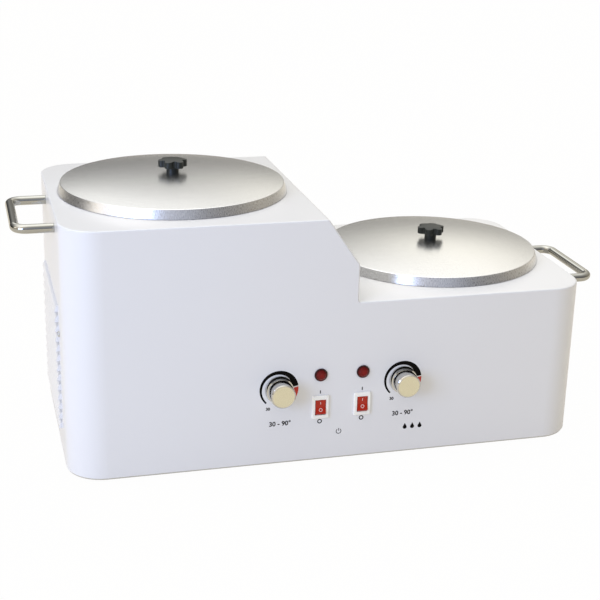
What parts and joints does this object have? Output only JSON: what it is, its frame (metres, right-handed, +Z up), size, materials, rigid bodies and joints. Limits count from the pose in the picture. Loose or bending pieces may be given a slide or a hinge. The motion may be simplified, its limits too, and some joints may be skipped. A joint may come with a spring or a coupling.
{
  "type": "double wax warmer",
  "caption": "Stepped white enamelled twin-pot wax warmer with aluminium lids, rod handles, two thermostat dials, two rocker switches and indicator lamps.",
  "frame": {"origin": "middle of the overall box on the surface that the feet stand on", "axes": "+X along the front from the deep pot to the shallow pot, -Y is the front with the controls, +Z up"},
  "size_m": [0.536, 0.2518, 0.2511],
  "materials": {
    "enamel": "white gloss enamel on sheet steel",
    "zinc_sheet": "zinc-plated sheet",
    "spun_aluminium": "satin spun",
    "pot_aluminium": "drawn, plain",
    "chrome_rod": "bright",
    "chrome_dial": "bright",
    "black_phenolic": "moulded",
    "zinc_fastener": "zinc plated",
    "black_rubber": "matte",
    "white_nylon": "moulded",
    "red_rocker": "translucent moulded",
    "red_lens": "faceted lens",
    "black_nylon": "moulded",
    "brass_terminal": "bare",
    "mica_band": "heater jacket",
    "bakelite": "moulded",
    "copper_capillary": "bare",
    "wire_sleeve": "glass-fibre sleeve"
  },
  "bodies": {
    "housing": {"wrap_casing": "enamel", "stepped_deck": "enamel", "base_plate": "zinc_sheet", "base_screws": "zinc_fastener", "foot_front_left": "black_rubber", "foot_front_right": "black_rubber", "foot_rear_left": "black_rubber", "foot_rear_right": "black_rubber", "foot_screws": "zinc_fastener", "foot_nuts": "zinc_fastener", "side_screws": "zinc_fastener", "cable_clips": "white_nylon", "left_handle": "chrome_rod", "right_handle": "chrome_rod", "handle_washers": "zinc_fastener", "handle_nuts": "zinc_fastener", "left_pot": "pot_aluminium", "right_pot": "pot_aluminium", "left_heater_band": "mica_band", "right_heater_band": "mica_band", "heater_clamp_screws": "zinc_fastener", "heater_clamp_nuts": "zinc_fastener", "left_thermostat": "bakelite", "right_thermostat": "bakelite", "thermostat_nuts": "zinc_fastener", "thermostat_terminals": "brass_terminal", "left_capillary": "copper_capillary", "right_capillary": "copper_capillary", "bulb_clips": "zinc_fastener", "left_switch_housing": "white_nylon", "right_switch_housing": "white_nylon", "switch_terminals": "brass_terminal", "left_lamp_body": "black_nylon", "right_lamp_body": "black_nylon", "left_lamp_lens": "red_lens", "right_lamp_lens": "red_lens", "lamp_nuts": "black_nylon", "power_inlet": "black_nylon", "inlet_pins": "brass_terminal", "inlet_screws": "zinc_fastener", "inlet_nuts": "zinc_fastener", "terminal_block": "white_nylon", "terminal_block_screws": "zinc_fastener", "wiring": "wire_sleeve"},
    "left_lid_group": {"left_lid": "spun_aluminium", "left_lid_knob": "black_phenolic", "left_lid_screw": "zinc_fastener", "left_lid_washer": "zinc_fastener"},
    "left_dial": {"left_dial_knob": "chrome_dial", "left_dial_shaft": "zinc_fastener"},
    "left_rocker_body": {"left_rocker": "red_rocker"},
    "right_lid_group": {"right_lid": "spun_aluminium", "right_lid_knob": "black_phenolic", "right_lid_screw": "zinc_fastener", "right_lid_washer": "zinc_fastener"},
    "right_dial": {"right_dial_knob": "chrome_dial", "right_dial_shaft": "zinc_fastener"},
    "right_rocker_body": {"right_rocker": "red_rocker"}
  },
  "joints": [
    {"name": "left_lid_lift", "type": "slide", "parent": "housing", "child": "left_lid_group", "axis": [0, 0, 1], "range_m": [0, 0.16]},
    {"name": "left_dial_turn", "type": "hinge", "parent": "housing", "child": "left_dial", "pos_m": [-0.052, -0.1089, 0.0745], "axis": [0, 1, 0], "range_deg": [0, 270]},
    {"name": "left_rocker_tip", "type": "hinge", "parent": "housing", "child": "left_rocker_body", "pos_m": [-0.015, -0.1069, 0.055], "axis": [1, 0, 0], "range_deg": [0, 18]},
    {"name": "right_lid_lift", "type": "slide", "parent": "housing", "child": "right_lid_group", "axis": [0, 0, 1], "range_m": [0, 0.16]},
    {"name": "right_dial_turn", "type": "hinge", "parent": "housing", "child": "right_dial", "pos_m": [0.06, -0.1089, 0.0745], "axis": [0, 1, 0], "range_deg": [0, 270]},
    {"name": "right_rocker_tip", "type": "hinge", "parent": "housing", "child": "right_rocker_body", "pos_m": [0.023, -0.1069, 0.055], "axis": [1, 0, 0], "range_deg": [0, 18]}
  ]
}
